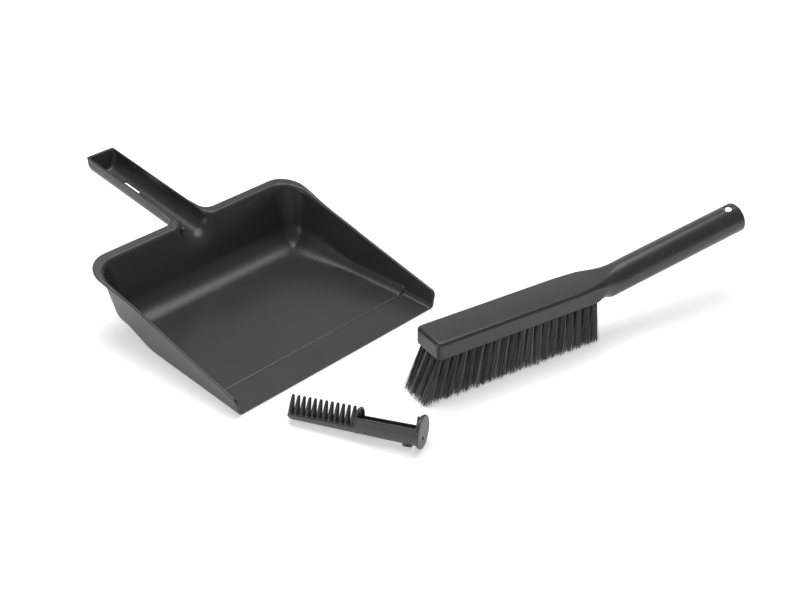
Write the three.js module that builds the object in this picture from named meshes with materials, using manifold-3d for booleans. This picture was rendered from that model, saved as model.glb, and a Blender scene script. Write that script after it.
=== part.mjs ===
// Dust pan and brush set: a pan with a trough handle, a hand brush with a hollow handle, and the
// comb that cleans the brush and is kept in its handle. Millimetres, +Z up. The origin is the
// middle of the pan's flat base. The three pieces lie on one flat surface, side by side.
import * as THREE from "three";
import { mergeVertices } from "three/addons/utils/BufferGeometryUtils.js";
import Module from "manifold-3d";

const wasm = await Module();
wasm.setup();

// ---------------------------------------------------------------- driving dimensions
const gap = 0.3; // clearance between pieces that touch

// Pan: +Y runs from the mouth to the handle.
const mouthWidth = 225;
const baseDepth = 159.2; // flat base, mouth to rear wall
const baseTaper = 7.8; // how far each side of the base draws in by the rear wall
const sideLean = 0.2; // outward run of the side walls for each mm of height
const rearLean = 0.53; // the same for the rear wall
const panWall = 2.4;
const floorThickness = 2.6;
const floorFillet = 8; // inside, between the floor and the walls
const baseRound = 2.5; // outside, round the foot of the walls
const cornerRadius = 12; // outside corner between the side and rear walls, at the base
const cornerGrowth = 0.15; // growth of that radius for each mm of height
const mouthWallHeight = 15.8; // side wall at the mouth
const rimSlope = 0.231; // rise of the rim for each mm towards the handle
const rimFlange = 6.8; // how far the rim stands out behind the rear wall
const rimFlangeSide = 2.6; // the same at the sides, just in front of the corners
const rimThickness = 2.4;
const flangeRunOut = 26; // length over which the side flange fades into the wall
const lipLength = 33; // the thinned front of the floor
const lipEdge = 0.9; // its thickness at the mouth
const mouthCornerRadius = 4.5; // top front corners of the side walls

// Trough handle of the pan
const troughWidth = 30.6;
const troughDepth = 17.6; // outside, below the top edges
const troughCorner = 11; // outside radius of the two long edges underneath
const troughWall = 1.8;
const troughLength = 134.6; // from the rim's rear edge to the handle's end
const troughSlope = 0.1225;
const troughEndLean = 0.3; // lean of the end wall
const rootFillet = 13; // between the handle and the rim, seen from above
const hangSlotLength = 24;
const hangSlotWidth = 6;
const hangSlotFromEnd = 45; // middle of the slot
const nubHeight = 0.9; // the two nubs that hold the brush handle in the trough
const nubLength = 3.2;

// Brush
const blockWidth = 34.8;
const blockThickness = 15.7;
const bristleLength = 41; // below the block
const blockEndRadius = 5;
const blockEdgeRound = 2.5;
const neckFromTufts = -1.4; // where the block ends and the neck starts, from the middle of the last tuft
const neckLength = 42; // from the block to the full round of the handle
const waistLength = 28; // end of the block over which its sides start to draw in
const skirtHeight = 6; // the block's foot, which stays at full width past the waist
const handleRadius = 13.3;
const handleRise = 8.06; // degrees
const handleLength = 126.6; // from the neck to the handle's mouth
const handleSink = 0.7; // how far the handle's axis lies below the middle of the block, at the neck's end
const handleWall = 1.1; // at the mouth
const boreTaper = 0.0215; // loss of radius for each mm of depth
const borePlug = 7.6; // solid length between the neck and the bore
const hangHoleRadius = 4;
const hangHoleFromEnd = 9.5;
const tuftPitch = 8.18; // along the block
const tuftRowPitch = 7.7; // across the block
const tuftRows = 4; // side by side across the block
const tuftCount = 20; // along the block
const tuftRootRadius = 2.3;
const tuftSeat = 7; // depth of the tuft in its hole
const firstTuft = 6.5; // middle of the first hole, from the block's end
const tuftFan = 14.5; // how far the first row's tips lean out past its roots

// Comb
const capThickness = 2.2;
const capLip = 0.3; // how far the cap stands out past the handle's mouth
const capHoleRadius = 1.4;
const capHoleDrop = 5; // below the cap's centre
const combEndGap = 6.5; // from the comb's end to the bottom of the bore
const combWall = 1.6;
const bodyOpening = 3.6; // height of the open top above the axis
const collarLength = 2.5;
const toothCount = 12;
const toothPitch = 4.79;
const firstToothGap = 1.1; // from the end wall to the middle of the first tooth
const toothTip = 10.5; // above the axis
const endTooth = 1.4; // middle of the last tooth, from the comb's end
const barTop = -5.2; // top face of the tooth bar, from the axis
const toothWidth = 6; // across the bar, at the root
const snapArmLength = 22;
const snapArmEdge = 0.6; // each side of the button
const snapSlit = 0.9;

// Where the loose pieces lie, from the middle of the pan's mouth
const brushPlace = { x: 14.8, y: -84.3, turn: -13.15 };
const combPlace = { x: -37.3, y: -131.1, turn: 114.5, roll: 29.7 };

// ---------------------------------------------------------------- sizes that follow
const rad = THREE.MathUtils.degToRad;
const rimHeight = (y) => mouthWallHeight + rimSlope * y;
const rearTop = (baseDepth + rearLean * mouthWallHeight) / (1 - rearLean * rimSlope);
const rimRear = rearTop + rimFlange;
const troughEnd = rimRear + troughLength;
const troughTop = (y) => rimHeight(rimRear) + troughSlope * (y - rimRear);
const troughInside = troughWidth / 2 - troughWall;
const mouthY = -baseDepth / 2; // the origin is the middle of the pan's base
const blockBottom = bristleLength;
const blockMiddle = blockBottom + blockThickness / 2;
const lastTuft = firstTuft + tuftPitch * (tuftCount - 1);
const tuftFieldEnd = lastTuft + tuftRootRadius + 1;
const blockLength = lastTuft + neckFromTufts;
const handleStart = blockLength + neckLength;
const brushLength = handleStart + handleLength;
const boreRadius = handleRadius - handleWall; // at the mouth
const boreDepth = handleLength - borePlug;
const handleAxisZ = (s) => blockMiddle - handleSink + Math.tan(rad(handleRise)) * (s - handleStart);
const combLength = boreDepth - combEndGap;
const firstTooth = combLength - endTooth - toothPitch * (toothCount - 1);
const bodyLength = firstTooth - firstToothGap; // cap's face to the back of the end wall
const combRadius = (x) => boreRadius - gap - boreTaper * x;
const capRadius = handleRadius + capLip;
const snapCentre = capThickness + hangHoleFromEnd;
const snapRadius = hangHoleRadius - gap;
const snapArmWidth = 2 * (snapRadius + snapArmEdge);

// ---------------------------------------------------------------- materials
const polypropylene = (color) =>
  new THREE.MeshStandardMaterial({ color, roughness: 0.48, metalness: 0 });
const bristleNylon = new THREE.MeshStandardMaterial({ color: 0x1c1c1c, roughness: 0.6, metalness: 0 });

// ---------------------------------------------------------------- solids from geometry
// A closed three.js geometry as a manifold solid: only shared positions are kept.
function solid(geometry) {
  const bare = geometry.clone();
  bare.deleteAttribute("normal");
  bare.deleteAttribute("uv");
  const merged = mergeVertices(bare, 1e-4);
  return new wasm.Manifold(
    new wasm.Mesh({
      numProp: 3,
      vertProperties: new Float32Array(merged.attributes.position.array),
      triVerts: new Uint32Array(merged.index.array),
    }),
  );
}

// A named mesh from a manifold solid.
function piece(name, body, material) {
  const { numProp, numVert, vertProperties, triVerts } = body.getMesh();
  const positions = new Float32Array(numVert * 3);
  for (let i = 0; i < numVert; i += 1) {
    positions.set(vertProperties.subarray(i * numProp, i * numProp + 3), i * 3);
  }
  const geometry = new THREE.BufferGeometry();
  geometry.setAttribute("position", new THREE.BufferAttribute(positions, 3));
  geometry.setIndex(new THREE.BufferAttribute(triVerts, 1));
  geometry.computeVertexNormals();
  const mesh = new THREE.Mesh(geometry, material);
  mesh.name = name;
  return mesh;
}

const union = (solids) => solids.reduce((whole, next) => whole.add(next));

// A closed skin over outlines that all have the same number of points. Each outline is a list of
// [x, y, z] that runs anticlockwise seen from the side that the next outline is on.
function loft(outlines) {
  const count = outlines[0].length;
  const positions = outlines.flat(2);
  const index = [];
  for (let ring = 0; ring + 1 < outlines.length; ring += 1) {
    for (let i = 0; i < count; i += 1) {
      const a = ring * count + i;
      const b = ring * count + ((i + 1) % count);
      index.push(a, b, b + count, a, b + count, a + count);
    }
  }
  const cap = (outline, first, flip) => {
    const [flat, turned] = flattened(outline);
    for (const [a, b, c] of THREE.ShapeUtils.triangulateShape(flat, [])) {
      const face = flip !== turned ? [first + a, first + c, first + b] : [first + a, first + b, first + c];
      index.push(...face);
    }
  };
  cap(outlines[0], 0, true);
  cap(outlines.at(-1), (outlines.length - 1) * count, false);
  const geometry = new THREE.BufferGeometry();
  geometry.setAttribute("position", new THREE.Float32BufferAttribute(positions, 3));
  geometry.setIndex(index);
  return geometry;
}

// An outline flattened along the axis that it faces most, for triangulating its cap. The second
// value says whether that view of it runs clockwise, which triangulateShape turns round.
function flattened(outline) {
  const normal = new THREE.Vector3();
  outline.forEach((p, i) => {
    const q = outline[(i + 1) % outline.length];
    normal.x += (p[1] - q[1]) * (p[2] + q[2]);
    normal.y += (p[2] - q[2]) * (p[0] + q[0]);
    normal.z += (p[0] - q[0]) * (p[1] + q[1]);
  });
  const size = [Math.abs(normal.x), Math.abs(normal.y), Math.abs(normal.z)];
  const axis = size.indexOf(Math.max(...size));
  const [u, v] = [[1, 2], [2, 0], [0, 1]][axis];
  const flat = outline.map((p) => new THREE.Vector2(p[u], p[v]));
  return [flat, THREE.ShapeUtils.isClockWise(flat) !== normal.getComponent(axis) < 0];
}

// An outline drawn in a plane and pushed along +Z.
function extruded(shape, depth, curveSegments = 12) {
  return new THREE.ExtrudeGeometry(shape, { depth, bevelEnabled: false, curveSegments });
}

// A box by its lowest and highest corners.
function box([x0, y0, z0], [x1, y1, z1]) {
  const geometry = new THREE.BoxGeometry(x1 - x0, y1 - y0, z1 - z0);
  return geometry.translate((x0 + x1) / 2, (y0 + y1) / 2, (z0 + z1) / 2);
}

// ---------------------------------------------------------------- pan
const cornerSteps = 8;
const filletSteps = 4;

// The pan's plan at height z, drawn in by inset from the outside of its walls. front is the
// outline's lowest y.
function panOutline(z, inset, front) {
  const halfWidth = (y) => mouthWidth / 2 - (baseTaper * y) / baseDepth + sideLean * z - inset;
  const rear = baseDepth + rearLean * z - inset;
  const radius = Math.max(cornerRadius + cornerGrowth * z - inset, 2);
  const cornerX = halfWidth(rear) - radius;
  const right = [[halfWidth(front), front, z]];
  for (let i = 0; i <= cornerSteps; i += 1) {
    const angle = ((Math.PI / 2) * i) / cornerSteps;
    right.push([cornerX + radius * Math.cos(angle), rear - radius + radius * Math.sin(angle), z]);
  }
  const left = right.map(([x, y]) => [-x, y, z]).reverse();
  return [...right, ...left];
}

// Everything above the rim's sloping plane, or above a plane that lies below it by drop.
function aboveRim(drop) {
  const reach = 3 * (baseDepth + mouthWidth);
  const slab = box([-reach, -reach, 0], [reach, reach, reach]);
  slab.rotateX(Math.atan(rimSlope));
  return solid(slab.translate(0, 0, mouthWallHeight - drop));
}

// The rim's plan: flush with the walls at the sides, then standing out round the corners and along
// the rear.
function rimOutline(z) {
  const sideY = rearTop - flangeRunOut;
  const side = mouthWidth / 2 - (baseTaper * sideY) / baseDepth + sideLean * rimHeight(sideY);
  const radius = cornerRadius + cornerGrowth * rimHeight(rearTop) + rimFlangeSide;
  const flare = side + rimFlangeSide;
  const right = [
    [side - panWall / 2, sideY - flangeRunOut, z],
    [side, sideY - flangeRunOut / 2, z],
    [flare, rimRear - radius, z],
  ];
  for (let i = 1; i <= cornerSteps; i += 1) {
    const angle = ((Math.PI / 2) * i) / cornerSteps;
    right.push([flare - radius + radius * Math.cos(angle), rimRear - radius + radius * Math.sin(angle), z]);
  }
  const left = right.map(([x, y]) => [-x, y, z]).reverse();
  return [...right, ...left];
}

function panShell() {
  const high = rimHeight(rimRear) + 20;
  const outside = loft([
    panOutline(0, baseRound, 0),
    panOutline(baseRound * 0.3, baseRound * 0.3, 0),
    panOutline(baseRound, 0, 0),
    panOutline(high, 0, 0),
  ]);
  const rimPlate = solid(loft([rimOutline(0), rimOutline(high)])).subtract(
    solid(box([-mouthWidth, -1, -1], [mouthWidth, troughEnd, 0])),
  );
  const rim = rimPlate.subtract(aboveRim(0)).intersect(aboveRim(rimThickness));
  return solid(outside).subtract(aboveRim(0)).add(rim);
}

// Half the width of the space between the side walls.
const spaceHalfWidth = (y, z) => mouthWidth / 2 - (baseTaper * y) / baseDepth + sideLean * z - panWall;

// The space in the pan behind the lip: the pan's plan drawn in by the wall, with a fillet round the
// floor.
function panCavity() {
  const high = rimHeight(rimRear) + 30;
  const rings = [];
  for (let i = 0; i <= filletSteps; i += 1) {
    const angle = ((Math.PI / 2) * i) / filletSteps;
    const inset = panWall + floorFillet * (1 - Math.sin(angle));
    rings.push(panOutline(floorThickness + floorFillet * (1 - Math.cos(angle)), inset, lipLength - 0.02));
  }
  rings.push(panOutline(high, panWall, lipLength - 0.02));
  return solid(loft(rings));
}

// The space over the lip, whose floor slopes down to the mouth.
function lipSpace() {
  const slope = (floorThickness - lipEdge) / lipLength;
  const section = (y) => {
    const right = [];
    for (let i = 0; i <= filletSteps; i += 1) {
      const angle = ((Math.PI / 2) * i) / filletSteps;
      const z = lipEdge + slope * y + floorFillet * (1 - Math.cos(angle));
      right.push([spaceHalfWidth(y, z) - floorFillet * (1 - Math.sin(angle)), y, z]);
    }
    right.push([spaceHalfWidth(y, 100), y, 100]);
    const left = right.map(([x, , z]) => [-x, y, z]);
    return [...left, ...right.reverse()];
  };
  return solid(loft([section(-10), section(lipLength)]));
}

// What is cut off the top front corners of the side walls to round them.
function mouthCorners() {
  const radius = mouthCornerRadius;
  const tilt = Math.atan(rimSlope);
  const centre = [radius, rimHeight(radius) - radius / Math.cos(tilt)];
  const shape = new THREE.Shape();
  shape.moveTo(-5, centre[1]);
  shape.lineTo(0, centre[1]);
  shape.absarc(centre[0], centre[1], radius, Math.PI, Math.PI / 2 + tilt, true);
  shape.lineTo(radius, 40);
  shape.lineTo(-5, 40);
  const cut = extruded(shape, 2 * mouthWidth, 6);
  cut.rotateY(Math.PI / 2).rotateX(Math.PI / 2);
  return solid(cut.translate(-mouthWidth, 0, 0));
}

// A U-shaped section, open side up, pushed along the trough from y0 to y1: its half width, the
// radius of its two lower corners, its depth, and the straight part above the open side.
function troughBar(half, corner, depth, lift, y0, y1, steps = 8) {
  const low = corner - depth;
  const right = [];
  for (let i = 0; i <= steps; i += 1) {
    const angle = ((Math.PI / 2) * i) / steps;
    right.push([half - corner + corner * Math.sin(angle), low - corner * Math.cos(angle)]);
  }
  right.push([half, lift]);
  const left = right.map(([x, z]) => [-x, z]).reverse();
  const section = (y, endShift) =>
    [...left, ...right].map(([x, z]) => [x, y + endShift * z, troughTop(y) + z]).reverse();
  return solid(loft([section(y0, 0), section(y1, troughEndLean)]));
}

// The plates that carry the rim round into the handle's sides.
function rootPlate(side) {
  const half = troughWidth / 2;
  const shape = new THREE.Shape();
  shape.moveTo(0, -rimFlange);
  shape.lineTo(half + rootFillet, -rimFlange);
  shape.lineTo(half + rootFillet, 0);
  shape.absarc(half + rootFillet, rootFillet, rootFillet, -Math.PI / 2, -Math.PI, true);
  shape.lineTo(0, rootFillet);
  const plate = extruded(shape, rimThickness, 6);
  plate.translate(0, 0, -rimThickness);
  plate.rotateX(Math.atan(troughSlope));
  plate.translate(0, rimRear, rimHeight(rimRear));
  const made = solid(plate);
  return side > 0 ? made : made.mirror([1, 0, 0]);
}

// A small rounded nub on the trough's side, at a given distance along it.
function nub(side, y) {
  const ball = new THREE.SphereGeometry(nubLength / 2, 8, 6);
  const depth = 4;
  const x = troughInside + nubLength / 2 - nubHeight;
  return solid(ball.translate(side * x, y, troughTop(y) - depth));
}

function dustPan() {
  const start = rearTop - 14;
  const handle = troughBar(troughWidth / 2, troughCorner, troughDepth, 0, start, troughEnd);
  const endWall = troughWall * 1.2;
  const depth = troughDepth - troughWall;
  const trough = troughBar(troughInside, troughInside - 0.1, depth, 40, baseDepth / 2, troughEnd - endWall);
  const slot = new THREE.Shape();
  const straight = (hangSlotLength - hangSlotWidth) / 2;
  slot.absarc(0, straight, hangSlotWidth / 2, 0, Math.PI, false);
  slot.absarc(0, -straight, hangSlotWidth / 2, Math.PI, 2 * Math.PI, false);
  const slotY = troughEnd - hangSlotFromEnd;
  const slotCut = extruded(slot, 30, 5);
  slotCut.translate(0, slotY, troughTop(slotY) - troughWidth);
  const nubs = [nub(-1, rimRear - 8), nub(1, troughEnd - 36)];
  const body = union([panShell(), handle, rootPlate(1), rootPlate(-1)])
    .subtract(aboveRim(0))
    .subtract(panCavity())
    .subtract(lipSpace())
    .subtract(mouthCorners())
    .subtract(trough)
    .subtract(solid(slotCut));
  return piece("dust_pan", union([body, ...nubs]), polypropylene(0x3a3a3a));
}

// ---------------------------------------------------------------- brush
const sectionSides = 32;

// A value that goes from one figure to another between two places along the brush, eased at both.
function eased(s, start, end, from, to) {
  const share = THREE.MathUtils.clamp((s - start) / (end - start), 0, 1);
  return THREE.MathUtils.lerp(from, to, share * share * (3 - 2 * share));
}

// The brush's section at distance s along it: a rounded rectangle at the block, a circle at the
// handle, with points at equal steps of a superellipse's angle. shrink draws it in at the ends.
function brushSection(s, shrink) {
  const axis = handleAxisZ(s);
  const sides = blockLength - waistLength;
  const top = eased(s, blockLength, handleStart, blockBottom + blockThickness, axis + handleRadius);
  const low = eased(s, tuftFieldEnd, handleStart - neckLength / 2, blockBottom, axis - handleRadius);
  const halfWidth = eased(s, sides, handleStart - neckLength / 4, blockWidth / 2, handleRadius) - shrink;
  const halfHeight = (top - low) / 2 - shrink * 0.6;
  const middle = (top + low) / 2;
  const power = eased(s, blockLength - waistLength / 2, handleStart - neckLength / 4, 0.16, 1);
  const points = [];
  for (let i = 0; i < sectionSides; i += 1) {
    const angle = (2 * Math.PI * i) / sectionSides;
    const c = Math.cos(angle);
    const d = Math.sin(angle);
    const y = halfWidth * Math.sign(c) * Math.abs(c) ** power;
    const z = halfHeight * Math.sign(d) * Math.abs(d) ** power;
    points.push([s, y, middle + z]);
  }
  return points;
}

// The foot of the block where its upper part narrows: full width as far as the tufts go, then a
// round nose under the neck.
function skirt() {
  const half = blockWidth / 2;
  const nose = neckLength / 2;
  const start = blockLength - waistLength;
  const shape = new THREE.Shape();
  shape.moveTo(start, -half);
  shape.lineTo(tuftFieldEnd, -half);
  shape.absellipse(tuftFieldEnd, 0, nose, half, -Math.PI / 2, Math.PI / 2, false);
  shape.lineTo(start, half);
  const plate = extruded(shape, skirtHeight, 8);
  return solid(plate.translate(0, 0, blockBottom));
}

function tuftPlaces() {
  const places = [];
  for (let column = 0; column < tuftCount; column += 1) {
    for (let row = 0; row < tuftRows; row += 1) {
      const across = tuftRowPitch * (row - (tuftRows - 1) / 2);
      places.push([column, firstTuft + tuftPitch * column, across]);
    }
  }
  return places;
}

// A six-sided column from z0 to z1 at (s, t).
function hexColumn(s, t, radius, z0, z1) {
  const column = new THREE.CylinderGeometry(radius, radius, z1 - z0, 6);
  column.rotateX(Math.PI / 2);
  return solid(column.translate(s, t, (z0 + z1) / 2));
}

// The bore of the handle, along its axis, widest at the mouth.
function handleBore() {
  const deep = boreRadius - boreTaper * boreDepth;
  const past = 5;
  const bore = new THREE.CylinderGeometry(boreRadius + boreTaper * past, deep, boreDepth + past, 32);
  bore.rotateZ(-Math.PI / 2);
  bore.translate((past - boreDepth) / 2, 0, 0);
  return solid(placedOnHandle(bore));
}

// Moves a geometry made about the handle's mouth, with +X out of it, to its place on the brush.
function placedOnHandle(geometry) {
  geometry.rotateY(-rad(handleRise));
  return geometry.translate(brushLength, 0, handleAxisZ(brushLength));
}

function brushBody() {
  const rings = [];
  for (const share of [0, 0.15, 0.5, 1]) {
    const s = blockEndRadius * share;
    const shrink = blockEdgeRound * (1 - Math.sqrt(1 - (1 - share) ** 2));
    rings.push(brushSection(s, shrink + (share === 0 ? 0.01 : 0)));
  }
  const waistSteps = 4;
  for (let i = 0; i < waistSteps; i += 1) {
    rings.push(brushSection(blockLength - waistLength * (1 - i / waistSteps), 0));
  }
  const neckSteps = 10;
  for (let i = 0; i <= neckSteps; i += 1) {
    rings.push(brushSection(blockLength + (neckLength * i) / neckSteps, 0));
  }
  rings.push(brushSection(brushLength + handleRadius, 0));
  const mouthCut = box([0, -60, -60], [60, 60, 60]);
  let body = solid(loft(rings))
    .add(skirt())
    .subtract(solid(placedOnHandle(mouthCut)))
    .subtract(handleBore());
  const hangHole = new THREE.CylinderGeometry(hangHoleRadius, hangHoleRadius, 2 * handleRadius, 20);
  hangHole.rotateX(Math.PI / 2).translate(-hangHoleFromEnd, 0, handleRadius);
  body = body.subtract(solid(placedOnHandle(hangHole)));
  for (const [, s, t] of tuftPlaces()) {
    const top = blockBottom + tuftSeat + gap;
    body = body.subtract(hexColumn(s, t, tuftRootRadius + gap * 1.2, blockBottom - 5, top));
  }
  return piece("brush_body", body, polypropylene(0x3c3c3c));
}

// One crosswise row of tufts. Each tuft is round where it is held, and spreads towards its tips
// until it meets its neighbours in the row.
function tuftRow(column) {
  const s = firstTuft + tuftPitch * column;
  const lean = -tuftFan * (1 - column / (tuftCount - 1)) ** 1.2;
  const tipPitch = tuftPitch + (tuftFan * 0.75) / (tuftCount - 1);
  const tipHalfLength = (tipPitch - gap) / 2 - 0.1;
  const tipHalfWidth = tuftRowPitch / 2 + 0.1;
  const ring = (x, y, z, halfLength, halfWidth) => [
    [x + halfLength, y, z],
    [x + halfLength / 2, y + halfWidth, z],
    [x - halfLength / 2, y + halfWidth, z],
    [x - halfLength, y, z],
    [x - halfLength / 2, y - halfWidth, z],
    [x + halfLength / 2, y - halfWidth, z],
  ];
  const tufts = tuftPlaces()
    .filter(([at]) => at === column)
    .map(([, , t]) => {
      const half = tuftRootRadius * Math.sin(Math.PI / 3);
      return solid(
        loft([
          ring(s + lean, t * 1.08, 0, tipHalfLength, tipHalfWidth * 1.08),
          ring(s, t, blockBottom - gap, tuftRootRadius, half),
          ring(s, t, blockBottom + tuftSeat, tuftRootRadius, half),
        ]),
      );
    });
  const label = String(column + 1).padStart(2, "0");
  return piece(`bristle_row_${label}`, union(tufts), bristleNylon);
}

// ---------------------------------------------------------------- comb
// A tapered round bar along +X from x0 to x1, following the comb's taper, less offset.
function combRound(x0, x1, offset, sides = 32) {
  const bar = new THREE.CylinderGeometry(combRadius(x1) - offset, combRadius(x0) - offset, x1 - x0, sides);
  bar.rotateZ(-Math.PI / 2).rotateX(Math.PI / sides);
  return solid(bar.translate((x0 + x1) / 2, 0, 0));
}

function tooth(x) {
  const depth = barTop - 1;
  const ring = (z, halfLength, halfWidth) =>
    Array.from({ length: 8 }, (_, i) => {
      const angle = (2 * Math.PI * (i + 0.5)) / 8;
      return [x + halfLength * Math.cos(angle), halfWidth * Math.sin(angle), z];
    });
  const root = toothPitch * 0.52;
  const rings = [
    ring(depth, root, toothWidth / 2),
    ring(barTop + 1.5, root * 0.8, toothWidth * 0.42),
    ring(toothTip - 1.6, 0.95, 1.3),
    ring(toothTip, 0.4, 0.55),
  ];
  return solid(loft(rings));
}

// The springy arm, cut free in the floor of the half tube, and the button at its end that clicks
// into the brush handle's hanging hole.
function snapSlits() {
  const start = snapCentre - snapRadius - snapSlit;
  const end = start + snapArmLength;
  const deep = -2 * handleRadius;
  const side = (y) => solid(box([start, y - snapSlit / 2, deep], [end, y + snapSlit / 2, barTop]));
  const half = snapArmWidth / 2;
  const free = solid(box([start, -half - snapSlit / 2, deep], [start + snapSlit, half + snapSlit / 2, barTop]));
  return union([side(half), side(-half), free]);
}

function snapButton() {
  const height = handleRadius - combRadius(snapCentre) + 1.5;
  const button = new THREE.CylinderGeometry(snapRadius, snapRadius - 0.5, height, 16);
  button.rotateX(Math.PI / 2);
  return solid(button.translate(snapCentre, 0, -handleRadius + height / 2 + gap / 2));
}

function brushComb() {
  const cap = new THREE.CylinderGeometry(capRadius, capRadius, capThickness, 40);
  cap.rotateZ(-Math.PI / 2).translate(capThickness / 2, 0, 0);
  const hole = new THREE.CylinderGeometry(capHoleRadius, capHoleRadius, 20, 12);
  hole.rotateZ(-Math.PI / 2).translate(0, 0, -capHoleDrop);
  const collarEnd = capThickness + collarLength;
  const open = (x0, x1, z) => solid(box([x0, -20, z], [x1, 20, 20]));
  const body = combRound(capThickness / 2, bodyLength, 0)
    .subtract(combRound(capThickness, bodyLength - combWall * 1.4, combWall))
    .subtract(open(collarEnd, bodyLength - combWall * 1.4, bodyOpening));
  const bar = combRound(bodyLength - 1, combLength, 0).subtract(open(bodyLength, combLength + 1, barTop));
  const teeth = [];
  for (let i = 0; i < toothCount; i += 1) {
    teeth.push(tooth(firstTooth + toothPitch * i));
  }
  const whole = union([solid(cap), body, bar, ...teeth])
    .subtract(solid(hole))
    .subtract(snapSlits());
  return piece("brush_comb", whole.add(snapButton()), polypropylene(0x484848));
}

// ---------------------------------------------------------------- the set
const set = new THREE.Group();

const pan = new THREE.Group();
pan.position.set(0, mouthY, 0);
pan.add(dustPan());
set.add(pan);

const brush = new THREE.Group();
brush.position.set(brushPlace.x, mouthY + brushPlace.y, 0);
brush.rotation.z = rad(brushPlace.turn);
brush.add(brushBody());
for (let column = 0; column < tuftCount; column += 1) {
  brush.add(tuftRow(column));
}
set.add(brush);

// The comb rests on the rim of its cap and on the end of its bar.
const comb = new THREE.Group();
const combTilt = Math.asin((capRadius - combRadius(combLength)) / combLength);
comb.rotation.set(rad(combPlace.roll), combTilt, rad(combPlace.turn), "ZYX");
comb.position.set(combPlace.x, mouthY + combPlace.y, capRadius * Math.cos(combTilt));
comb.add(brushComb());
set.add(comb);

export default set;
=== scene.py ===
# Dust pan and brush set: the pan, the hand brush and the comb that cleans it, each moulded in one
# piece of dark grey polypropylene, lying side by side. Lengths are millimetres until a mesh is made.
import math

import bpy
import numpy as np
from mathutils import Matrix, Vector


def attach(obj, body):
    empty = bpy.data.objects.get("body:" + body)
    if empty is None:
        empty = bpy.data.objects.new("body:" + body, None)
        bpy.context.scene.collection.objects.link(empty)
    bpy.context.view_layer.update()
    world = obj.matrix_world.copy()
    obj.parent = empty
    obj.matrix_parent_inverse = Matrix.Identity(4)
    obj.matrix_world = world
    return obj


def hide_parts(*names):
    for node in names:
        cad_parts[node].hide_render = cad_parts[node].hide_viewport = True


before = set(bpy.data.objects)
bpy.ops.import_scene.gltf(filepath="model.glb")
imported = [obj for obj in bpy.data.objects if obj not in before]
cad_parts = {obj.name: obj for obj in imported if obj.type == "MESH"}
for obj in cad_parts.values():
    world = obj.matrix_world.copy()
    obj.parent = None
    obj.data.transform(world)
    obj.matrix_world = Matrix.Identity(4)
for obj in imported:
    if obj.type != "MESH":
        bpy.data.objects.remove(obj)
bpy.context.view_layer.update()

# ---------------------------------------------------------------- camera, floor and light
# A long lens on a tripod, looking down on a table: the pan's mouth faces the camera. The table is
# a matt white board, and the light is one broad softbox overhead with a dim room around it.
MM = 0.001
CAMERA_TURN = math.radians(-45.49)
CAMERA_DIP = math.radians(32.45)
CAMERA_DISTANCE = 1304.0
CAMERA_AIM = Vector((100.5, -49.5, 0.0))
LENS = 65.28


def srgb(code):
    """Linear RGBA of an sRGB hex colour: ((c + 0.055) / 1.055) ** 2.4 above the short straight part."""
    c = np.array([(code >> shift & 255) / 255 for shift in (16, 8, 0)])
    linear = np.where(c <= 0.04045, c / 12.92, ((c + 0.055) / 1.055) ** 2.4)
    return (*linear.tolist(), 1.0)


def add_node(tree, kind, settings=None, links=None):
    """Adds a shader node. settings are socket values or, where there is no such input, the node's
    own properties. links are sockets to join, as {input: output socket}."""
    made = tree.nodes.new(kind)
    for name, value in (settings or {}).items():
        if name in made.inputs:
            made.inputs[name].default_value = value
        else:
            setattr(made, name, value)
    for name, socket in (links or {}).items():
        tree.links.new(socket, made.inputs[name])
    return made


def new_material(name):
    """An empty node material and its tree."""
    material = bpy.data.materials.new(name)
    material.use_nodes = True
    material.node_tree.nodes.clear()
    return material, material.node_tree


def add_light(name, place, aim, size, watts):
    """A rectangular softbox at place, facing aim. Places are metres."""
    light = bpy.data.lights.new(name, "AREA")
    light.shape = "RECTANGLE"
    light.size, light.size_y = size
    light.energy = watts
    lamp = bpy.data.objects.new(name, light)
    lamp.location = place
    lamp.rotation_euler = (Vector(aim) - Vector(place)).to_track_quat("-Z", "Y").to_euler()
    bpy.context.scene.collection.objects.link(lamp)
    return lamp


view = Vector((
    -math.sin(CAMERA_TURN) * math.cos(CAMERA_DIP),
    math.cos(CAMERA_TURN) * math.cos(CAMERA_DIP),
    -math.sin(CAMERA_DIP),
))
camera = bpy.data.objects.new("camera", bpy.data.cameras.new("camera"))
camera.data.lens = LENS
camera.data.sensor_width = 36
camera.location = (CAMERA_AIM - view * CAMERA_DISTANCE) * MM
camera.rotation_euler = view.to_track_quat("-Z", "Y").to_euler()
bpy.context.scene.collection.objects.link(camera)
bpy.context.scene.camera = camera
bpy.context.scene.view_settings.view_transform = "Standard"

add_light("overhead softbox", (0.42, 0.33, 1.75), (0.1, -0.05, 0), (1.5, 1.3), 24)
add_light("left softbox", (-1.9, 0.3, 0.6), (0, 0, 0), (1.2, 1.0), 9)
add_light("backdrop", (1.9, 1.8, 1.0), (0.1, 0.0, 0.1), (3.0, 1.5), 8)

world = bpy.data.worlds.new("dim room")
world.use_nodes = True
world.node_tree.nodes["Background"].inputs["Color"].default_value = srgb(0xFFFFFF)
world.node_tree.nodes["Background"].inputs["Strength"].default_value = 0.3
bpy.context.scene.world = world

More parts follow.
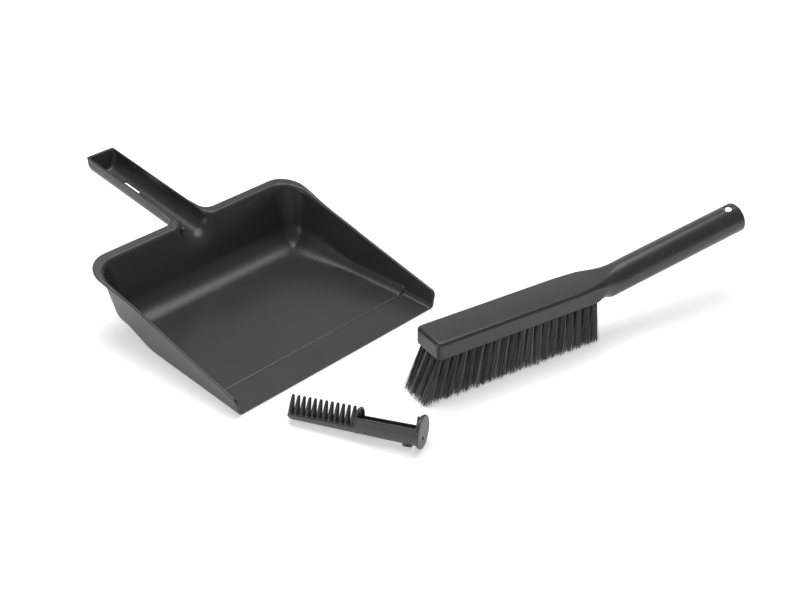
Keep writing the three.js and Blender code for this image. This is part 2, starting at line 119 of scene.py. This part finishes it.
# Matt laminate board: plain white, with the faintest mottle.
board_white, tree = new_material("matt white laminate")
where = add_node(tree, "ShaderNodeTexCoord")
mottle = add_node(tree, "ShaderNodeTexNoise", {"Scale": 6.0}, {"Vector": where.outputs["Object"]})
tint = add_node(tree, "ShaderNodeMapRange", {"To Min": 0.955, "To Max": 0.965},
                {"Value": mottle.outputs["Fac"]})
matt = add_node(tree, "ShaderNodeBsdfPrincipled", {
    "Roughness": 0.9, "Specular IOR Level": 0.0, "Emission Color": srgb(0xFFFFFF), "Emission Strength": 0.42},
                {"Base Color": tint.outputs["Result"]})
add_node(tree, "ShaderNodeOutputMaterial", None, {"Surface": matt.outputs["BSDF"]})
BOARD = 9.0
board_mesh = bpy.data.meshes.new("board")
board_mesh.from_pydata(
    [(-BOARD, -BOARD, 0), (BOARD, -BOARD, 0), (BOARD, BOARD, 0), (-BOARD, BOARD, 0)], [], [(0, 1, 2, 3)]
)
board_mesh.materials.append(board_white)
board = bpy.data.objects.new("board", board_mesh)
board.location.z = -0.0004
bpy.context.scene.collection.objects.link(board)

# ---------------------------------------------------------------- dust pan
# The pan is one injection moulding: a tray with leaning walls, a sloping rim that turns outwards at
# the rear, a lip that thins to the mouth, and a half-round trough for a handle. Its corners are all
# run together by fillets, so it is worked out as one solid and its surface is laid as a skin.
MOUTH = 225.0
BASE_DEPTH = 159.25
PAN_SHIFT = 79.6
SIDE_TAPER = 0.049
SIDE_LEAN = 0.2
REAR_LEAN = 0.26
REAR_FOOT = 21.0  # outside radius between the base and the rear wall
# Where the rear wall, carried down to the floor, would stand.
REAR_LINE = BASE_DEPTH + REAR_FOOT * (math.hypot(1, REAR_LEAN) - REAR_LEAN)
CORNER_RADIUS = 14.0
CORNER_GROWTH = 0.17
PAN_WALL = 2.4
PAN_FLOOR = 2.6
LIP_LENGTH = 33.0
LIP_EDGE = 1.0
MOUTH_WALL = 15.8
RIM_SLOPE = 0.231
RIM_REAR = 197.8
RIM_HALF_WIDTH = 118.0
FLANGE = 2.2
TROUGH_HALF_WIDTH = 15.3
TROUGH_DEPTH = 17.6
TROUGH_CORNER = 11.0
TROUGH_WALL = 1.85
NOTCH = 188.0  # where the trough opens through the rear wall
NOTCH_EXTRA = 1.4  # the wall is thicker there
TROUGH_END = 332.4
TROUGH_SLOPE = 0.1225
END_LEAN = 0.42


def ease(x, start, end, low=0.0, high=1.0):
    """From low to high between start and end, as 3 k^2 - 2 k^3."""
    k = np.clip((x - start) / (end - start), 0, 1)
    return low + (high - low) * k * k * (3 - 2 * k)


def meet(a, b, radius):
    """Where two solids overlap, with the edge between their surfaces rounded: max(a, b), or inside
    the corner the distance to an arc of that radius."""
    corner = np.hypot(np.maximum(radius + a, 0), np.maximum(radius + b, 0))
    return np.minimum(-radius, np.maximum(a, b)) + corner


def join(a, b, radius):
    """Two solids as one, with a fillet of that radius between them: the same as meet, inside out."""
    return -meet(-a, -b, radius)


def cut(a, b, radius):
    """The first solid less the second, with the edge rounded."""
    return meet(a, -b, radius)


def steps(*runs):
    """Places along an axis from runs of (from, to, spacing), each run ending where the next starts."""
    parts = [np.linspace(a, b, max(int(round((b - a) / d)), 1), endpoint=False) for a, b, d in runs]
    return np.append(np.concatenate(parts), runs[-1][1])


def mirrored(half):
    """The same places on both sides of zero."""
    return np.concatenate([-half[:0:-1], half])


def slope_of(field, at, reach=0.02):
    """The gradient of a field at points (3, n), by central differences."""
    rows = []
    for axis in range(3):
        move = np.zeros((3, 1))
        move[axis] = reach
        rows.append((field(*(at + move)) - field(*(at - move))) / (2 * reach))
    return np.array(rows)


def skin(field, grid):
    """The surface where field is zero, as points (n, 3), quads (m, 4) and unit normals (n, 3).
    grid is (3, i, j, k) places. One point is laid in each cell that the surface crosses, at the
    mean of its edges' crossings, then moved along the field's slope until the field is zero there.
    One quad joins the four cells round each crossed edge."""
    value = field(*grid)
    inside = value < 0
    cells = tuple(n - 1 for n in value.shape)
    total = np.zeros((3, *cells))
    count = np.zeros(cells)
    faces = []
    crossings = []
    for axis in range(3):
        low = [slice(None)] * 3
        high = [slice(None)] * 3
        low[axis], high[axis] = slice(None, -1), slice(1, None)
        low, high = tuple(low), tuple(high)
        crossed = inside[low] != inside[high]
        share = np.where(crossed, value[low] / np.where(crossed, value[low] - value[high], 1), 0)
        place = (grid[(slice(None), *low)] * (1 - share) + grid[(slice(None), *high)] * share) * crossed
        others = [a for a in range(3) if a != axis]
        for first in (0, 1):
            for second in (0, 1):
                pick = [slice(None)] * 3
                pick[others[0]] = slice(first, first + cells[others[0]])
                pick[others[1]] = slice(second, second + cells[others[1]])
                total += place[(slice(None), *pick)]
                count += crossed[tuple(pick)]
        crossings.append((axis, others, crossed, inside[low]))
    used = count > 0
    number = np.full(cells, -1)
    number[used] = np.arange(used.sum())
    points = total[:, used] / count[used]
    for axis, others, crossed, start_inside in crossings:
        inner = [slice(None)] * 3
        inner[others[0]] = slice(1, -1)
        inner[others[1]] = slice(1, -1)
        at = np.array(np.nonzero(crossed[tuple(inner)]))
        at[others[0]] += 1
        at[others[1]] += 1
        ring = []
        for first, second in ((-1, -1), (0, -1), (0, 0), (-1, 0)):
            near = at.copy()
            near[others[0]] += first
            near[others[1]] += second
            ring.append(number[tuple(near)])
        quad = np.array(ring).T
        turn = start_inside[tuple(at)] == (axis == 1)
        quad[turn] = quad[turn][:, ::-1]
        faces.append(quad)
    for _ in range(4):
        slope = slope_of(field, points)
        step = field(*points) * slope / np.maximum((slope**2).sum(0), 0.2)
        points = points - np.clip(step, -0.35, 0.35)
    slope = slope_of(field, points)
    return points.T, np.concatenate(faces), (slope / np.linalg.norm(slope, axis=0)).T


def laid_mesh(name, points, faces, normals=None, material=None):
    """A smooth-shaded object of quads from points in metres, with the normals given."""
    mesh = bpy.data.meshes.new(name)
    mesh.vertices.add(len(points))
    mesh.vertices.foreach_set("co", points.astype(np.float32).ravel())
    mesh.loops.add(faces.size)
    mesh.loops.foreach_set("vertex_index", faces.ravel().astype(np.int32))
    mesh.polygons.add(len(faces))
    mesh.polygons.foreach_set("loop_start", np.arange(0, faces.size, faces.shape[1], dtype=np.int32))
    mesh.update(calc_edges=True)
    mesh.validate()
    mesh.shade_smooth()
    if normals is not None and len(normals) == len(mesh.vertices):
        mesh.normals_split_custom_set_from_vertices(normals.astype(np.float32))
    if material is not None:
        mesh.materials.append(material)
    piece = bpy.data.objects.new(name, mesh)
    bpy.context.scene.collection.objects.link(piece)
    return piece


def pan_top(y):
    """Height of the rim, then of the handle's top edges: two straight slopes."""
    return np.minimum(MOUTH_WALL + RIM_SLOPE * y, trough_top(y))


def trough_top(y):
    return MOUTH_WALL + RIM_SLOPE * RIM_REAR + TROUGH_SLOPE * (y - RIM_REAR)


def pan_field(x, y, z):
    """Signed distance to the pan, in its own frame: y from the mouth to the handle. Walls, floor and
    trough are planes and cylinders, joined and cut with a radius of their own at each edge."""
    ax = np.abs(x)
    side = (ax - MOUTH / 2 + SIDE_TAPER * y - SIDE_LEAN * z) / math.hypot(1, SIDE_TAPER, SIDE_LEAN)
    rear = (y - REAR_LINE - REAR_LEAN * z) / math.hypot(1, REAR_LEAN)
    rim = (z - MOUTH_WALL - RIM_SLOPE * y) / math.hypot(1, RIM_SLOPE)
    handle_top = (z - trough_top(y)) / math.hypot(1, TROUGH_SLOPE)
    walls = meet(side, rear, CORNER_RADIUS + CORNER_GROWTH * np.clip(z, 0, 70))

    # The tray from outside, then the turned-out rim and the plates at the handle's root.
    top_front = meet(rim, -y, 4.5)
    tray = meet(meet(walls, -z, ease(y, 118, 162, 3.0, REAR_FOOT)), top_front, 1.0)
    wall_at_rim = MOUTH / 2 - SIDE_TAPER * y + SIDE_LEAN * (MOUTH_WALL + RIM_SLOPE * y)
    half_width = ease(y, 128, 174, wall_at_rim - 0.6, RIM_HALF_WIDTH)
    plan = meet(ax - half_width, y - RIM_REAR, 24.0)
    strip = np.maximum(ax - TROUGH_HALF_WIDTH + 0.3 + ease(y, 209, 226, 0, 5), y - 232)
    plan = np.maximum(join(plan, strip, 13.0), 100 - y)
    top = np.maximum(rim, handle_top)
    plate = meet(plan, np.abs(top + FLANGE / 2) - FLANGE / 2, 0.9)

    # The space in the tray. Its foot has a fillet that grows from the mouth to the rear.
    floor = PAN_FLOOR - (PAN_FLOOR - LIP_EDGE) * np.clip(1 - y / LIP_LENGTH, 0, 1.3)
    floor = floor - 0.5 * np.exp(-(((y - LIP_LENGTH) / 0.75) ** 2))
    fillet = ease(y, LIP_LENGTH - 1, LIP_LENGTH + 2, 3.5, 8.0) + ease(y, 90, 156, 0, REAR_FOOT - PAN_WALL - 8)
    space = meet(walls + PAN_WALL, floor - z, fillet)

    # The trough's hollow runs into the space in the tray, and a wall of one thickness follows it.
    end = y - TROUGH_END - END_LEAN * handle_top
    inside = TROUGH_HALF_WIDTH - TROUGH_WALL
    under = -handle_top - TROUGH_DEPTH
    hollow = meet(meet(ax - inside, under + TROUGH_WALL, inside - 0.05), end + 2.2, 2.4)
    void = join(space, hollow, 10.0)
    outside = meet(meet(ax - TROUGH_HALF_WIDTH, under, TROUGH_CORNER), y - TROUGH_END - 0.1 * handle_top, 2.0)
    outside = np.maximum(outside, RIM_REAR - y)
    # Away from the trough the wall thins to nothing, so that it leaves the tray's walls alone.
    wall = TROUGH_WALL + NOTCH_EXTRA * np.exp(-(((y - NOTCH) / 10) ** 2)) - ease(ax, 18, 34, 0, 6)
    wall = wall - ease(-handle_top, TROUGH_DEPTH + 2, TROUGH_DEPTH + 16, 0, 6)
    trough = np.minimum(void - wall, outside)
    trough = np.maximum(meet(trough, handle_top, 0.7), 150 - y)

    body = join(tray, plate, 1.6)
    body = join(body, trough, 4.0)
    body = meet(body, top, 0.6)
    roll = 0.8 + ease(y, 10, 40, 0, 0.3) + ease(y, 120, 170, 0, 1.9) - ease(y, 190, 206, 0, 2.2)
    body = cut(body, void, roll)

    # The hanging slot, and the two nubs that hold the brush's handle.
    slot = np.hypot(x, np.maximum(np.abs(y - 287.2) - 9.0, 0)) - 3.0
    body = np.where(handle_top < -4, cut(body, slot, 0.5), body)
    for sign, along in ((-1, RIM_REAR - 8), (1, TROUGH_END - 36)):
        nub = np.sqrt((x - sign * (inside + 0.9)) ** 2 + ((y - along) / 1.6) ** 2 + (handle_top + 4.5) ** 2)
        body = join(body, nub - 1.9, 0.5)
    return body


xs = mirrored(steps((0, 10, 0.95), (10, 17.4, 0.74), (17.4, 34, 1.5), (34, 88, 5.4),
                    (88, 102, 1.3), (102, 119.6, 0.8)))
ys = steps((-0.8, 2, 0.3), (2, 30.5, 2.6), (30.5, 36, 0.5), (36, 124, 3.2), (124, 200, 0.95),
           (200, 268, 2.8), (268, 306, 0.9), (306, 318, 2.4), (318, 333.4, 0.6))
foot = steps((-0.7, 1.3, 0.33), (1.3, 8, 0.65))
head = steps((-1, 0, 1 / 18))
crown = steps((-2.4, 1.1, 0.44))
top_line = pan_top(np.maximum(ys, 0))
reach = ease(ys, 60, 188, 4.0, 19.5)[:, None]
below_crown = crown[0] + (reach + crown[0]) * head[None, :-1]
upper = np.concatenate([below_crown, np.broadcast_to(crown, (len(ys), len(crown)))], 1)
upper = upper + top_line[:, None]
middle = np.linspace(0, 1, 17)[1:-1]
between = foot[-1] + (upper[:, :1] - foot[-1]) * middle
levels = np.concatenate([np.broadcast_to(foot, (len(ys), len(foot))), between, upper], 1)
grid = np.empty((3, len(xs), *levels.shape))
grid[0] = xs[:, None, None]
grid[1] = ys[None, :, None]
grid[2] = levels[None]
points, faces, normals = skin(pan_field, grid)


def moulded_plastic(name, colour, roughness):
    """Injection-moulded polypropylene, dyed in the mass. The mould is spark-eroded, so the skin has a
    fine even grain that breaks up reflections into soft bands; polypropylene's IOR is 1.49. A real
    grain of 0.15 mm is too fine to show, so it is drawn at 0.9 mm. Slow flow marks, about 45 mm long,
    make the gloss and the tone drift a little."""
    material, tree = new_material(name)
    where = add_node(tree, "ShaderNodeTexCoord")
    grain = add_node(tree, "ShaderNodeTexNoise", {"Scale": 1 / 0.0009, "Detail": 3.0, "Roughness": 0.6},
                     {"Vector": where.outputs["Object"]})
    flow = add_node(tree, "ShaderNodeTexNoise", {"Scale": 1 / 0.045, "Detail": 4.0, "Roughness": 0.55},
                    {"Vector": where.outputs["Object"]})
    dark = np.array(colour) * 0.93
    light = np.array(colour) * 1.08
    tone = add_node(tree, "ShaderNodeValToRGB", None, {"Fac": flow.outputs["Fac"]})
    tone.color_ramp.elements[0].position = 0.3
    tone.color_ramp.elements[0].color = (*dark[:3], 1)
    tone.color_ramp.elements[1].position = 0.7
    tone.color_ramp.elements[1].color = (*light[:3], 1)
    gloss = add_node(tree, "ShaderNodeMapRange", {"To Min": roughness - 0.05, "To Max": roughness + 0.05},
                     {"Value": flow.outputs["Fac"]})
    bump = add_node(tree, "ShaderNodeBump", {"Strength": 0.06, "Distance": 0.0003},
                    {"Height": grain.outputs["Fac"]})
    skin_of_part = add_node(tree, "ShaderNodeBsdfPrincipled", {"IOR": 1.49}, {
        "Base Color": tone.outputs["Color"], "Roughness": gloss.outputs["Result"],
        "Normal": bump.outputs["Normal"],
    })
    add_node(tree, "ShaderNodeOutputMaterial", None, {"Surface": skin_of_part.outputs["BSDF"]})
    return material


pan_plastic = moulded_plastic("dark grey moulded polypropylene, pan", srgb(0x2F2F30), 0.34)
pan = laid_mesh("moulded_pan", (points - [0, PAN_SHIFT, 0]) * MM, faces, normals, pan_plastic)
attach(pan, "pan")
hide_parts("dust_pan")

# ---------------------------------------------------------------- brush body
# The brush is one moulding too: a block that holds the tufts, a neck that draws in and turns round,
# and a hollow round handle that rises at a slight angle. Its top edge is rounded, its foot is sharp,
# and the handle is open at the end, with a hole in the top wall for a hook and for the comb's catch.
BRUSH_PLACE = np.array([14.8, -163.9, 0.0])
BRUSH_TURN = math.radians(-13.15)
BLOCK_LENGTH = 160.5
BLOCK_HALF_WIDTH = 17.4
BLOCK_FOOT = 41.0
BLOCK_TOP = 56.7
BLOCK_CROWN = 0.5
WAIST_START = 132.5
TUFTS_END = 165.2
NECK_END = 202.5
HANDLE_RADIUS = 13.3
HANDLE_RISE = math.radians(8.06)
HANDLE_AXIS = 48.15
BRUSH_LENGTH = 329.1
BORE_RADIUS = 12.2
BORE_TAPER = 0.0215
BORE_DEPTH = 119.0
HOOK_HOLE_RADIUS = 4.0
HOOK_HOLE_FROM_END = 9.5


def handle_axis(s):
    return HANDLE_AXIS + math.tan(HANDLE_RISE) * (s - NECK_END)


def brush_top(s):
    return ease(s, BLOCK_LENGTH, NECK_END, BLOCK_TOP, handle_axis(s) + HANDLE_RADIUS / math.cos(HANDLE_RISE))


def brush_foot(s):
    handle_foot = handle_axis(s) - HANDLE_RADIUS / math.cos(HANDLE_RISE)
    return ease(s, TUFTS_END, NECK_END - 16, BLOCK_FOOT, handle_foot)


def brush_field(s, t, z):
    """Signed distance to the brush body: s along it from the block's end, t across, z up. Between a
    top and a foot that change along it stand two sides that lean out from the narrow neck to the
    wide foot; the radii of the four long edges grow until the section is a circle."""
    across = np.abs(t)
    top, foot = brush_top(s), brush_foot(s)
    neck = ease(s, WAIST_START, NECK_END - 10.5, BLOCK_HALF_WIDTH, HANDLE_RADIUS)
    skirt = ease(s, TUFTS_END - 3, NECK_END - 20, BLOCK_HALF_WIDTH, neck)
    half = neck + (skirt - neck) * np.clip((top - z) / (top - foot), 0, 1)
    crown = BLOCK_CROWN * ease(s, WAIST_START, NECK_END, 1, 0) * (across / BLOCK_HALF_WIDTH) ** 2
    plan = meet(across - half, -s, 5.0)
    over = meet(plan, z - top + crown, ease(s, WAIST_START + 25, NECK_END - 4, 3.0, HANDLE_RADIUS - 0.2))
    under = meet(plan, foot - z, ease(s, TUFTS_END - 6, NECK_END - 22, 1.1, HANDLE_RADIUS - 0.6))
    body = np.maximum(over, under)
    up = z - handle_axis(BRUSH_LENGTH)
    out = (s - BRUSH_LENGTH) * math.cos(HANDLE_RISE) + up * math.sin(HANDLE_RISE)
    rise = up * math.cos(HANDLE_RISE) - (s - BRUSH_LENGTH) * math.sin(HANDLE_RISE)
    body = meet(body, out, 0.5)
    bore = meet(np.hypot(t, rise) - BORE_RADIUS - BORE_TAPER * out, -out - BORE_DEPTH, 2.0)
    body = cut(body, bore, 0.45)
    hole = np.hypot(t, out + HOOK_HOLE_FROM_END) - HOOK_HOLE_RADIUS
    return np.where(rise > 0, cut(body, hole, 0.35), body)


def turned(rows, angle):
    """Points or normals (n, 3) turned about the vertical."""
    c, d = math.cos(angle), math.sin(angle)
    return rows @ np.array([[c, d, 0], [-d, c, 0], [0, 0, 1]])


along = steps((-0.8, 7, 0.45), (7, 131, 3.1), (131, 212, 1.3), (212, 309, 2.4), (309, 331.8, 0.5))
across = mirrored(steps((0, 8, 0.9), (8, 14.4, 0.5), (14.4, 18.2, 0.5)))
share = steps((0, 0.22, 0.02), (0.22, 0.78, 0.022), (0.78, 1, 0.017))
foot_line, top_line = brush_foot(along) - 0.7, brush_top(along) + 0.7
grid = np.empty((3, len(along), len(across), len(share)))
grid[0] = along[:, None, None]
grid[1] = across[None, :, None]
grid[2] = (foot_line[:, None] + (top_line - foot_line)[:, None] * share)[:, None, :]
points, faces, normals = skin(brush_field, grid)
brush_plastic = moulded_plastic("dark grey moulded polypropylene, brush", srgb(0x313132), 0.3)
brush_body = laid_mesh("moulded_brush_body", (turned(points, BRUSH_TURN) + BRUSH_PLACE) * MM, faces,
                       turned(normals, BRUSH_TURN), brush_plastic)
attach(brush_body, "brush")
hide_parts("brush_body")

# ---------------------------------------------------------------- bristle tufts
# Tufts of synthetic filament, folded over an anchor and driven into holes in the block: 20 rows of
# four. The filaments spread towards their tips, which are trimmed level and rest on the floor.
TUFT_COLUMNS = 20
TUFT_ROWS = 4
TUFT_PITCH = 8.18
TUFT_ROW_PITCH = 7.7
FIRST_TUFT = 6.5
TUFT_RADIUS = 2.3
TUFT_FAN = 14.5
FILAMENTS = 105
FILAMENT_RADIUS = 0.21
FILAMENT_STEPS = 5
SPREAD_ALONG = 5.0
SPREAD_ACROSS = 4.4
ROOT_DEPTH = 3.0
RAGGEDNESS = 1.3


def filament_material():
    """Extruded polymer filament: smooth and satin, dyed black through, so each filament shows as a
    thin streak of light. Every filament has a shade of its own, and each one is paler towards its tip."""
    material, tree = new_material("black synthetic bristle filament")
    shade = add_node(tree, "ShaderNodeAttribute", {"attribute_name": "shade"})
    tone = add_node(tree, "ShaderNodeValToRGB", None, {"Fac": shade.outputs["Fac"]})
    tone.color_ramp.elements[0].color = srgb(0x242424)
    tone.color_ramp.elements[1].color = srgb(0x868686)
    gloss = add_node(tree, "ShaderNodeMapRange", {"To Min": 0.38, "To Max": 0.55},
                     {"Value": shade.outputs["Fac"]})
    filament = add_node(tree, "ShaderNodeBsdfPrincipled", {"IOR": 1.53},
                        {"Base Color": tone.outputs["Color"], "Roughness": gloss.outputs["Result"]})
    add_node(tree, "ShaderNodeOutputMaterial", None, {"Surface": filament.outputs["BSDF"]})
    return material


def tuft_row(column, random):
    """One crosswise row of tufts as three-sided filaments: points (n, 3), triangles, and a shade for
    each point. A filament starts at a random place in its round hole, r = R sqrt(u), and its tip lies
    in the same direction from the tuft's middle, in the ellipse that the tuft has spread to."""
    count = TUFT_ROWS * FILAMENTS
    middle_s = FIRST_TUFT + TUFT_PITCH * column
    middle_t = TUFT_ROW_PITCH * (np.repeat(np.arange(TUFT_ROWS), FILAMENTS) - (TUFT_ROWS - 1) / 2)
    lean = -TUFT_FAN * (1 - column / (TUFT_COLUMNS - 1)) ** 1.2
    angle = random.uniform(0, 2 * math.pi, count)
    spread = np.sqrt(random.uniform(0, 1, count))
    k = np.linspace(0, 1, FILAMENT_STEPS + 1)[:, None]
    open_out = k**1.35
    stray = random.normal(0, 0.75, (2, count))
    half_s = TUFT_RADIUS + (SPREAD_ALONG - TUFT_RADIUS) * open_out
    half_t = TUFT_RADIUS + (SPREAD_ACROSS - TUFT_RADIUS) * open_out
    s = middle_s + lean * k + half_s * spread * np.cos(angle) + stray[0] * k**2
    t = middle_t * (1 + 0.08 * k) + half_t * spread * np.sin(angle) + stray[1] * k**2
    tip = FILAMENT_RADIUS + np.abs(random.normal(0, RAGGEDNESS, count)) * 0.5
    z = BLOCK_FOOT + ROOT_DEPTH + (tip - BLOCK_FOOT - ROOT_DEPTH) * k
    side = 2 * math.pi * np.arange(3)[:, None, None] / 3 + angle
    thick = FILAMENT_RADIUS * np.ones_like(k)
    height = np.broadcast_to(z, side.shape[:1] + z.shape)
    rings = np.stack([s + thick * np.cos(side), t + thick * np.sin(side), height], -1)
    points = rings.transpose(2, 1, 0, 3).reshape(-1, 3)
    corner = np.arange(3)
    after = (corner + 1) % 3
    lower = 3 * np.arange(FILAMENT_STEPS)[:, None] + corner
    lower_after = 3 * np.arange(FILAMENT_STEPS)[:, None] + after
    tube = np.concatenate([
        np.stack([lower, lower + 3, lower_after + 3], -1).reshape(-1, 3),
        np.stack([lower, lower_after + 3, lower_after], -1).reshape(-1, 3),
        [[0, 1, 2], [3 * FILAMENT_STEPS + 2, 3 * FILAMENT_STEPS + 1, 3 * FILAMENT_STEPS]],
    ])
    each = 3 * (FILAMENT_STEPS + 1)
    faces = (tube[None] + each * np.arange(count)[:, None, None]).reshape(-1, 3)
    tuft_tone = np.repeat(random.uniform(-0.12, 0.12, TUFT_ROWS), FILAMENTS)
    tone = np.clip(0.4 + tuft_tone + random.normal(0, 0.22, count), 0, 1)
    # Every filament grows paler towards its tip, by up to 0.18 of the ramp.
    shade = np.repeat(tone[:, None] + 0.18 * k.T**3, 3, axis=1).ravel()
    return points, faces, np.clip(shade, 0, 1)


bristle_filament = filament_material()
random = np.random.default_rng(20)
for column in range(TUFT_COLUMNS):
    points, faces, shade = tuft_row(column, random)
    tufts = laid_mesh(f"tuft_row_{column + 1:02d}", (turned(points, BRUSH_TURN) + BRUSH_PLACE) * MM, faces,
                      None, bristle_filament)
    attribute = tufts.data.attributes.new("shade", "FLOAT", "POINT")
    attribute.data.foreach_set("value", shade.astype(np.float32))
    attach(tufts, "brush")
    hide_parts(f"bristle_row_{column + 1:02d}")

# ---------------------------------------------------------------- comb
# The comb cleans the brush and is kept inside its handle, where a springy arm clicks its button into
# the hook hole. It is one moulding: a cap, a half tube for a body, a domed end wall, and a bar of teeth.
COMB_PLACE = np.array([-37.3, -210.7])
COMB_TURN = math.radians(114.5)
COMB_ROLL = math.radians(29.7)
COMB_LENGTH = 112.5
COMB_RADIUS = 11.9
CAP_RADIUS = 13.6
CAP_THICKNESS = 2.2
CAP_HOLE_RADIUS = 1.6
CAP_HOLE_DROP = 5.0
HUB_END = 4.0
HUB_RADIUS = 11.0
COMB_BODY_END = 57.3
DOME_START = 52.6
COMB_WALL = 1.6
BODY_EDGE = 2.7
BAR_TOP = -5.2
TEETH = 12
TOOTH_PITCH = 4.79
TOOTH_TIP = 10.5
LAST_TOOTH = 111.1
ARM_START = 7.1
ARM_END = 29.0
ARM_HALF_WIDTH = 4.3
SLIT = 0.9
BUTTON_FROM_CAP = 11.7
BUTTON_RADIUS = 4.1


def comb_field(x, y, z):
    """Signed distance to the comb: x along it from the cap's face, z the way its teeth point."""
    radius = np.hypot(y, z)
    bore_fit = COMB_RADIUS - BORE_TAPER * x
    cap = meet(radius - CAP_RADIUS, np.abs(x - CAP_THICKNESS / 2) - CAP_THICKNESS / 2, 0.5)
    hub = meet(radius - HUB_RADIUS, np.abs(x - HUB_END / 2) - HUB_END / 2, 0.35)
    lug = meet(meet(np.abs(np.abs(y) - 4.2) - 0.9, np.abs(x - 4.4) - 1.0, 0.4), np.abs(z - 7.2) - 4.7, 0.5)

    # The half tube, and the dome that closes it: two ellipsoids of revolution, one inside the other.
    shell = np.maximum(radius - bore_fit, bore_fit - COMB_WALL - radius)
    length = np.abs(x - DOME_START / 2 - 1) - DOME_START / 2
    tube = meet(meet(shell, z - BODY_EDGE, 0.55), length, 0.4)
    bulge = COMB_BODY_END - DOME_START
    far = np.maximum(x - DOME_START, 0)
    dome_out = (np.hypot(far / bulge, radius / bore_fit) - 1) * bulge * 1.2
    dome_in = (np.hypot(far / (bulge - 1.5), radius / (bore_fit - COMB_WALL)) - 1) * bulge
    dome = meet(meet(dome_out, -dome_in, 0.5), DOME_START - x, 0.5)
    rod = meet(meet(radius - bore_fit, x - COMB_LENGTH, 3.0), COMB_BODY_END - 4 - x, 0.5)
    bar = meet(rod, z - BAR_TOP, 0.7)

    # Each tooth is an oval pin, wide at the bar and narrow at its round tip.
    nearest = np.clip(np.round((LAST_TOOTH - x) / TOOTH_PITCH), 0, TEETH - 1)
    off = x - LAST_TOOTH + TOOTH_PITCH * nearest
    k = np.clip((z - BAR_TOP) / (TOOTH_TIP - BAR_TOP), -0.3, 1)
    half_length, half_width = 2.35 - 1.25 * np.abs(k) ** 1.7, 3.1 - 1.7 * np.abs(k) ** 1.5
    tooth = (np.hypot(off / half_length, y / half_width) - 1) * half_length
    tooth = meet(meet(tooth, z - TOOTH_TIP, 0.85), BAR_TOP - 1 - z, 0.1)

    body = join(join(tube, dome, 0.5), bar, 1.0)
    body = join(body, tooth, 1.0)
    along_arm = np.abs(x - (ARM_END + ARM_START) / 2) - (ARM_END - ARM_START) / 2
    arm = np.maximum(np.abs(y) - ARM_HALF_WIDTH - SLIT / 2, along_arm)
    uncut = np.maximum(np.abs(y) - ARM_HALF_WIDTH + SLIT / 2, ARM_START + SLIT - x)
    slits = np.maximum(np.maximum(arm, -uncut), z)
    body = cut(body, slits, 0.2)
    button = np.hypot(x - BUTTON_FROM_CAP, y) - BUTTON_RADIUS
    button = meet(button, np.abs(z + 11.4) - 2.0, 0.8)
    body = join(join(join(body, hub, 0.4), cap, 0.4), join(lug, button, 0.1), 0.3)
    hole = np.maximum(np.hypot(y, z + CAP_HOLE_DROP) - CAP_HOLE_RADIUS, x - 6)
    return cut(body, hole, 0.3)


tilt = math.asin((CAP_RADIUS - COMB_RADIUS + BORE_TAPER * COMB_LENGTH) / COMB_LENGTH)
roll_of = np.array([[1, 0, 0], [0, math.cos(COMB_ROLL), math.sin(COMB_ROLL)],
                    [0, -math.sin(COMB_ROLL), math.cos(COMB_ROLL)]])
tilt_of = np.array([[math.cos(tilt), 0, -math.sin(tilt)], [0, 1, 0], [math.sin(tilt), 0, math.cos(tilt)]])
lean_of = roll_of @ tilt_of
xs = steps((-0.7, 8.6, 0.42), (8.6, 16, 0.6), (16, 50, 1.4), (50, 58.5, 0.45), (58.5, 114.6, 0.47))
ys = mirrored(steps((0, 5.4, 0.43), (5.4, 14.2, 0.6)))
zs = steps((-14.4, -9, 0.45), (-9, -4, 0.5), (-4, 2.6, 0.95), (2.6, 4.4, 0.3), (4.4, 14.2, 0.6))
grid = np.array(np.meshgrid(xs, ys, zs, indexing="ij"))
points, faces, normals = skin(comb_field, grid)
comb_plastic = moulded_plastic("dark grey moulded polypropylene, comb", srgb(0x3C3C3D), 0.36)
comb_lift = np.array([*COMB_PLACE, CAP_RADIUS * math.cos(tilt)])
comb = laid_mesh("moulded_comb", (turned(points @ lean_of, COMB_TURN) + comb_lift) * MM, faces,
                 turned(normals @ lean_of, COMB_TURN), comb_plastic)
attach(comb, "comb")
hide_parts("brush_comb")
